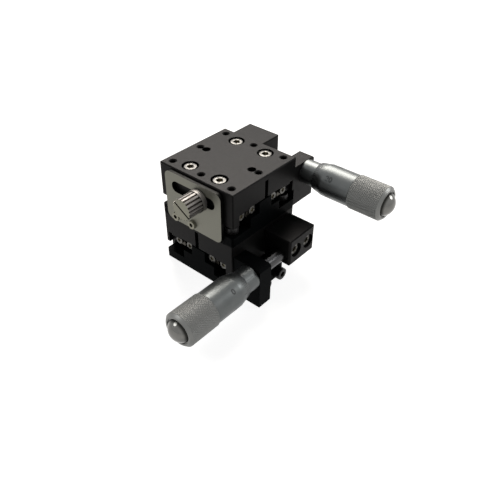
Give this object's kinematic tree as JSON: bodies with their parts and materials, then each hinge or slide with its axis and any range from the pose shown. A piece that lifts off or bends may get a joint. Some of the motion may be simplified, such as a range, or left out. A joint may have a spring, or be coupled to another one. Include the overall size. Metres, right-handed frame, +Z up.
{
  "type": "xy translation stage",
  "caption": "Compact manual XY translation stage: stacked crossed-roller slides, side micrometer heads, lock plates with clamp knobs, and a tapped square top plate",
  "frame": {"origin": "centre of the square underside of the lower base flange, with both tables at mid travel", "axes": "+Z up, out of the top plate; X is the upper table's travel and Y the lower table's; the lower micrometer's thimble points to -Y on the +X side, the upper one's to +X on the +Y side"},
  "size_m": [0.0935, 0.0981, 0.0486],
  "materials": {
    "black_anodised": "satin black anodised",
    "rail_steel": "ground and blackened",
    "stainless_screw": "bright stainless",
    "black_screw": "black oxide",
    "lock_plate_steel": "satin",
    "nickel": "bright nickel",
    "satin_chrome": "satin chrome",
    "hard_chrome": "ground and polished",
    "cage_brass": "plain",
    "spring_steel": "bright drawn"
  },
  "bodies": {
    "foundation": {"lower_base": "black_anodised", "lower_inner_rails": "rail_steel", "lower_inner_rail_screws": "black_screw", "lower_inner_end_screws": "stainless_screw", "lower_micrometer_bracket": "black_anodised", "lower_bracket_screws": "black_screw", "lower_bracket_set_screw": "black_screw", "lower_micrometer_sleeve": "satin_chrome", "lower_adjusting_nut": "hard_chrome", "lower_lock_plate": "lock_plate_steel", "lower_lock_plate_screws": "stainless_screw", "lower_base_spring_pin": "hard_chrome", "lower_return_spring": "spring_steel"},
    "middle": {"lower_table": "black_anodised", "lower_outer_rails": "rail_steel", "lower_outer_rail_screws": "stainless_screw", "lower_outer_end_screws": "stainless_screw", "lower_anvil_block": "black_anodised", "lower_anvil": "hard_chrome", "lower_anvil_block_screws": "stainless_screw", "lower_table_spring_pin": "hard_chrome", "upper_base": "black_anodised", "upper_inner_rails": "rail_steel", "upper_inner_rail_screws": "black_screw", "upper_inner_end_screws": "stainless_screw", "upper_micrometer_bracket": "black_anodised", "upper_bracket_screws": "black_screw", "upper_bracket_set_screw": "black_screw", "upper_micrometer_sleeve": "satin_chrome", "upper_adjusting_nut": "hard_chrome", "upper_lock_plate": "lock_plate_steel", "upper_lock_plate_screws": "stainless_screw", "upper_base_spring_pin": "hard_chrome", "upper_return_spring": "spring_steel", "upper_base_screws": "black_screw"},
    "top": {"upper_table": "black_anodised", "upper_outer_rails": "rail_steel", "upper_outer_rail_screws": "stainless_screw", "upper_outer_end_screws": "stainless_screw", "upper_anvil_block": "black_anodised", "upper_anvil": "hard_chrome", "upper_anvil_block_screws": "stainless_screw", "upper_table_spring_pin": "hard_chrome"},
    "lower_cages": {"lower_roller_cages": "cage_brass", "lower_rollers": "hard_chrome"},
    "upper_cages": {"upper_roller_cages": "cage_brass", "upper_rollers": "hard_chrome"},
    "lower_screw": {"lower_spindle": "hard_chrome", "lower_thimble": "satin_chrome", "lower_thimble_screw": "nickel"},
    "upper_screw": {"upper_spindle": "hard_chrome", "upper_thimble": "satin_chrome", "upper_thimble_screw": "nickel"},
    "lower_knob": {"lower_lock_knob": "nickel"},
    "upper_knob": {"upper_lock_knob": "nickel"}
  },
  "joints": [
    {"name": "y_slide", "type": "slide", "parent": "foundation", "child": "middle", "axis": [0, 1, 0], "range_m": [-0.0065, 0.0065], "deforming": ["lower_return_spring"]},
    {"name": "x_slide", "type": "slide", "parent": "middle", "child": "top", "axis": [1, 0, 0], "range_m": [-0.0065, 0.0065], "deforming": ["upper_return_spring"]},
    {"name": "lower_cage_slide", "type": "slide", "parent": "foundation", "child": "lower_cages", "axis": [0, 1, 0], "range_m": [-0.00325, 0.00325]},
    {"name": "upper_cage_slide", "type": "slide", "parent": "middle", "child": "upper_cages", "axis": [1, 0, 0], "range_m": [-0.00325, 0.00325]},
    {"name": "lower_thimble_turn", "type": "hinge", "parent": "middle", "child": "lower_screw", "pos_m": [0.0284, -0.04, 0.0138], "axis": [0, 1, 0], "range_deg": [-4680, 4680]},
    {"name": "upper_thimble_turn", "type": "hinge", "parent": "top", "child": "upper_screw", "pos_m": [0.04, 0.0284, 0.0381], "axis": [-1, 0, 0], "range_deg": [-4680, 4680]},
    {"name": "lower_lock_turn", "type": "hinge", "parent": "middle", "child": "lower_knob", "pos_m": [-0.025, -0.0038, 0.0168], "axis": [-1, 0, 0], "range_deg": [-216, 180]},
    {"name": "upper_lock_turn", "type": "hinge", "parent": "top", "child": "upper_knob", "pos_m": [0.0038, -0.025, 0.0411], "axis": [0, -1, 0], "range_deg": [-216, 180]}
  ],
  "couplings": [
    {"joint": "lower_thimble_turn", "follows": "y_slide", "rad_per_m": 12566},
    {"joint": "lower_cage_slide", "follows": "y_slide", "ratio": 0.5},
    {"joint": "upper_thimble_turn", "follows": "x_slide", "rad_per_m": -12566},
    {"joint": "upper_cage_slide", "follows": "x_slide", "ratio": 0.5}
  ]
}
